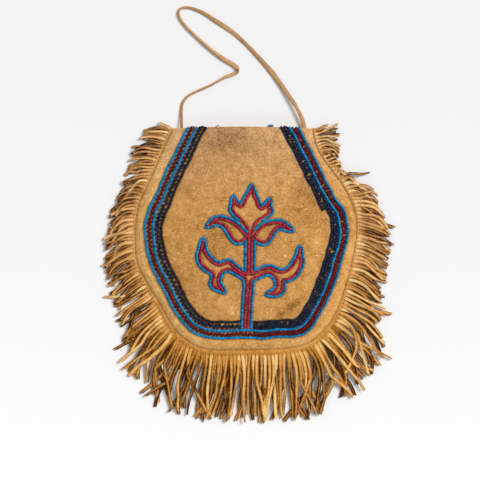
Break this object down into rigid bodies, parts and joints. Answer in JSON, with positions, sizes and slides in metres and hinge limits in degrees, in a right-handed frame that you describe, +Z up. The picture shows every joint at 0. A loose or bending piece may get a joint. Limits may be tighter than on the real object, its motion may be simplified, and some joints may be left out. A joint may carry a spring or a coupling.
{
  "type": "beaded pouch",
  "caption": "Hide pouch with a cut fringe, beaded border and floral motif, and a thong handle; it lies on its back and holds small keepsakes.",
  "frame": {"origin": "middle of the back panel's flat underside", "axes": "+Z up through the front, +Y towards the mouth, +X to the right as seen from the front"},
  "size_m": [0.1795, 0.257, 0.0118],
  "materials": {
    "hide": "matte",
    "fringe_hide": "matte",
    "thread": "matte",
    "blue_bead": "gloss",
    "red_bead": "gloss",
    "wine_bead": "gloss",
    "navy_bead": "gloss"
  },
  "bodies": {
    "root": {"back_panel": "hide", "front_panel": "hide", "fringe_left": "fringe_hide", "fringe_bottom": "fringe_hide", "fringe_right": "fringe_hide", "fringe_upper_right": "fringe_hide", "seam_thread": "thread", "thong": "hide", "thong_stitch_left": "thread", "thong_stitch_right": "thread", "outer_blue_row": "blue_bead", "inner_blue_row": "blue_bead", "red_lane": "wine_bead", "navy_lane_left": "navy_bead", "navy_lane_right": "navy_bead", "navy_lane_upper_right": "navy_bead", "navy_row_left": "navy_bead", "navy_row_right": "navy_bead", "navy_row_upper_right": "navy_bead", "left_leaf_red": "red_bead", "left_leaf_blue": "blue_bead", "right_leaf_red": "red_bead", "right_leaf_blue": "blue_bead", "left_petal_red": "red_bead", "left_petal_blue": "blue_bead", "right_petal_red": "red_bead", "right_petal_blue": "blue_bead", "flower_red": "red_bead", "flower_blue": "blue_bead", "mouth_beads_left": "blue_bead", "mouth_beads_right": "blue_bead"}
  },
  "joints": []
}
